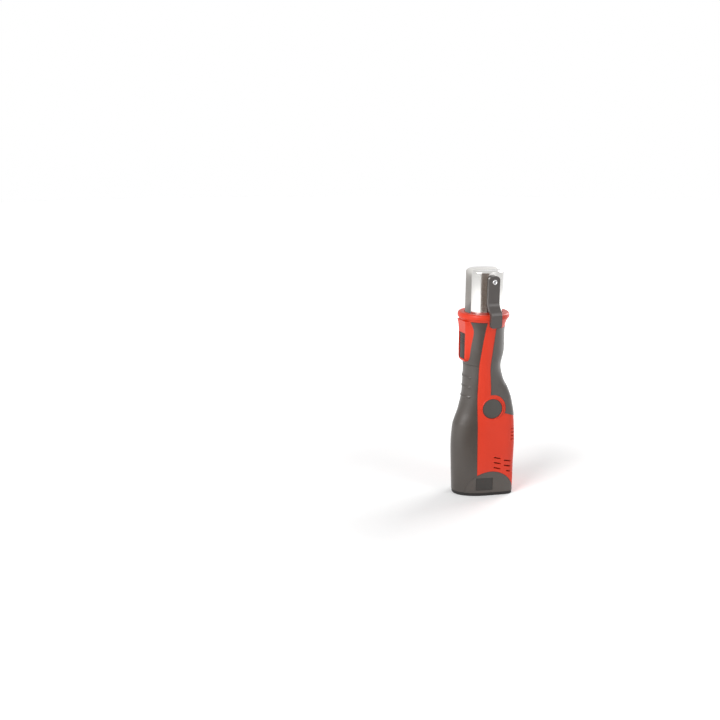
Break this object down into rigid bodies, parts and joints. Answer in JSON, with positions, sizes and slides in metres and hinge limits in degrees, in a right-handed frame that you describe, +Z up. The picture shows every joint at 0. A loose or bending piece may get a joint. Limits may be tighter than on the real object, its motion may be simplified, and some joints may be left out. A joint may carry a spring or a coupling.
{
  "type": "pipe press tool",
  "caption": "Cordless hydraulic press tool for pipe fittings: upright body with soft grips, swivelling jaw fork with lock pin, start button and slide-out battery.",
  "frame": {"origin": "on the floor under the drive axis, at the middle of the fork", "axes": "+Z up along the drive axis to the fork, -X the front with the start button, -Y the lock lever's side"},
  "size_m": [0.0824, 0.0726, 0.302],
  "materials": {
    "red_shell": "fine moulded texture",
    "soft_grip": "matt soft-touch moulding",
    "cap_black": "satin moulded disc",
    "battery_black": "fine moulded texture",
    "latch_grey": "ribbed moulding",
    "button_black": "ribbed moulding",
    "fork_steel": "turned and polished",
    "bright_steel": "ground",
    "lever_grey": "dark satin coat",
    "dark_steel": "blackened or zinc plated",
    "magnet_grey": "ferrite, dull",
    "inner_black": "moulded",
    "carbon": "pressed carbon",
    "pump_alloy": "machined",
    "brass": "turned",
    "copper": "enamelled wire and bars",
    "seal_rubber": "moulded",
    "board_green": "solder resist",
    "lead_red": "wire insulation",
    "cell_blue": "sleeved cell"
  },
  "bodies": {
    "housing": {"housing_left": "red_shell", "housing_right": "red_shell", "front_collar": "red_shell", "button_nose": "red_shell", "front_grip": "soft_grip", "back_grip": "soft_grip", "side_panel_left": "soft_grip", "side_panel_right": "soft_grip", "side_cap_left": "cap_black", "side_cap_right": "cap_black", "housing_screws": "dark_steel", "motor_can": "dark_steel", "motor_magnets": "magnet_grey", "motor_end_cap": "inner_black", "motor_brushes": "carbon", "motor_bearings": "dark_steel", "ring_gear": "dark_steel", "pump_block": "pump_alloy", "pump_plunger": "bright_steel", "pump_plug": "brass", "relief_valve": "brass", "press_cylinder": "dark_steel", "cylinder_gland": "brass", "rod_seal": "seal_rubber", "return_spring": "dark_steel", "oil_reservoir": "seal_rubber", "head_ring": "bright_steel", "start_switch": "inner_black", "control_board": "board_green", "motor_leads": "lead_red", "terminal_block": "inner_black", "terminal_blades": "brass", "button_spring": "bright_steel"},
    "rotor": {"motor_shaft": "bright_steel", "armature_core": "dark_steel", "armature_winding": "copper", "commutator": "copper", "cooling_fan": "inner_black", "sun_gear": "bright_steel"},
    "carrier": {"planet_carrier": "bright_steel", "eccentric_bearing": "dark_steel"},
    "planet_a": {"planet_1": "bright_steel"},
    "planet_b": {"planet_2": "bright_steel"},
    "planet_c": {"planet_3": "bright_steel"},
    "ram": {"piston": "bright_steel", "carriage_screw": "dark_steel"},
    "head": {"jaw_fork": "fork_steel"},
    "carriage": {"roller_carriage": "dark_steel", "roller_axles": "bright_steel"},
    "front_roller": {"roller_front": "bright_steel"},
    "back_roller": {"roller_back": "bright_steel"},
    "pin": {"locking_pin": "bright_steel", "pin_rivet": "bright_steel"},
    "lever": {"lock_lever": "lever_grey"},
    "battery": {"battery_case": "battery_black", "battery_base": "battery_black", "battery_cells": "cell_blue"},
    "left_latch": {"battery_latch_left": "latch_grey"},
    "right_latch": {"battery_latch_right": "latch_grey"},
    "button": {"start_button": "button_black"}
  },
  "joints": [
    {"name": "head_swivel", "type": "hinge", "parent": "housing", "child": "head", "pos_m": [0, 0, 0.225], "axis": [0, 0, 1], "range_deg": [-175, 175]},
    {"name": "ram_stroke", "type": "slide", "parent": "housing", "child": "ram", "axis": [0, 0, 1], "range_m": [0, 0.025], "stiffness_N_per_m": 800, "springref_m": -0.02, "deforming": ["return_spring"]},
    {"name": "carriage_stroke", "type": "slide", "parent": "head", "child": "carriage", "axis": [0, 0, 1], "range_m": [0, 0.025]},
    {"name": "front_roller_spin", "type": "hinge", "parent": "carriage", "child": "front_roller", "pos_m": [-0.008, 0, 0.2528], "axis": [0, 1, 0], "continuous": true},
    {"name": "back_roller_spin", "type": "hinge", "parent": "carriage", "child": "back_roller", "pos_m": [0.008, 0, 0.2528], "axis": [0, 1, 0], "continuous": true},
    {"name": "pin_slide", "type": "slide", "parent": "head", "child": "pin", "axis": [0, -1, 0], "range_m": [0, 0.033]},
    {"name": "lever_swing", "type": "hinge", "parent": "pin", "child": "lever", "pos_m": [0, -0.0269, 0.28867], "axis": [0, 1, 0], "range_deg": [-135, 135]},
    {"name": "rotor_spin", "type": "hinge", "parent": "housing", "child": "rotor", "pos_m": [0, 0, 0.12], "axis": [0, 0, 1], "continuous": true},
    {"name": "carrier_spin", "type": "hinge", "parent": "housing", "child": "carrier", "pos_m": [0, 0, 0.16], "axis": [0, 0, 1], "continuous": true},
    {"name": "planet_1_spin", "type": "hinge", "parent": "carrier", "child": "planet_a", "pos_m": [0.00975, 0, 0.15], "axis": [0, 0, 1], "continuous": true},
    {"name": "planet_2_spin", "type": "hinge", "parent": "carrier", "child": "planet_b", "pos_m": [-0.00487, 0.00844, 0.15], "axis": [0, 0, 1], "continuous": true},
    {"name": "planet_3_spin", "type": "hinge", "parent": "carrier", "child": "planet_c", "pos_m": [-0.00487, -0.00844, 0.15], "axis": [0, 0, 1], "continuous": true},
    {"name": "battery_slide", "type": "slide", "parent": "housing", "child": "battery", "axis": [0, 0, -1], "range_m": [0, 0.08]},
    {"name": "left_latch_press", "type": "slide", "parent": "battery", "child": "left_latch", "axis": [0, 1, 0], "range_m": [0, 0.002], "stiffness_N_per_m": 400, "springref_m": -0.003},
    {"name": "right_latch_press", "type": "slide", "parent": "battery", "child": "right_latch", "axis": [0, -1, 0], "range_m": [0, 0.002], "stiffness_N_per_m": 400, "springref_m": -0.003},
    {"name": "button_push", "type": "slide", "parent": "housing", "child": "button", "axis": [1, 0, 0], "range_m": [0, 0.0022], "stiffness_N_per_m": 300, "springref_m": -0.003, "deforming": ["button_spring"]}
  ],
  "couplings": [
    {"joint": "carriage_stroke", "follows": "ram_stroke", "ratio": 1},
    {"joint": "carrier_spin", "follows": "rotor_spin", "ratio": 0.2},
    {"joint": "planet_1_spin", "follows": "rotor_spin", "ratio": -0.53333},
    {"joint": "planet_2_spin", "follows": "rotor_spin", "ratio": -0.53333},
    {"joint": "planet_3_spin", "follows": "rotor_spin", "ratio": -0.53333}
  ]
}
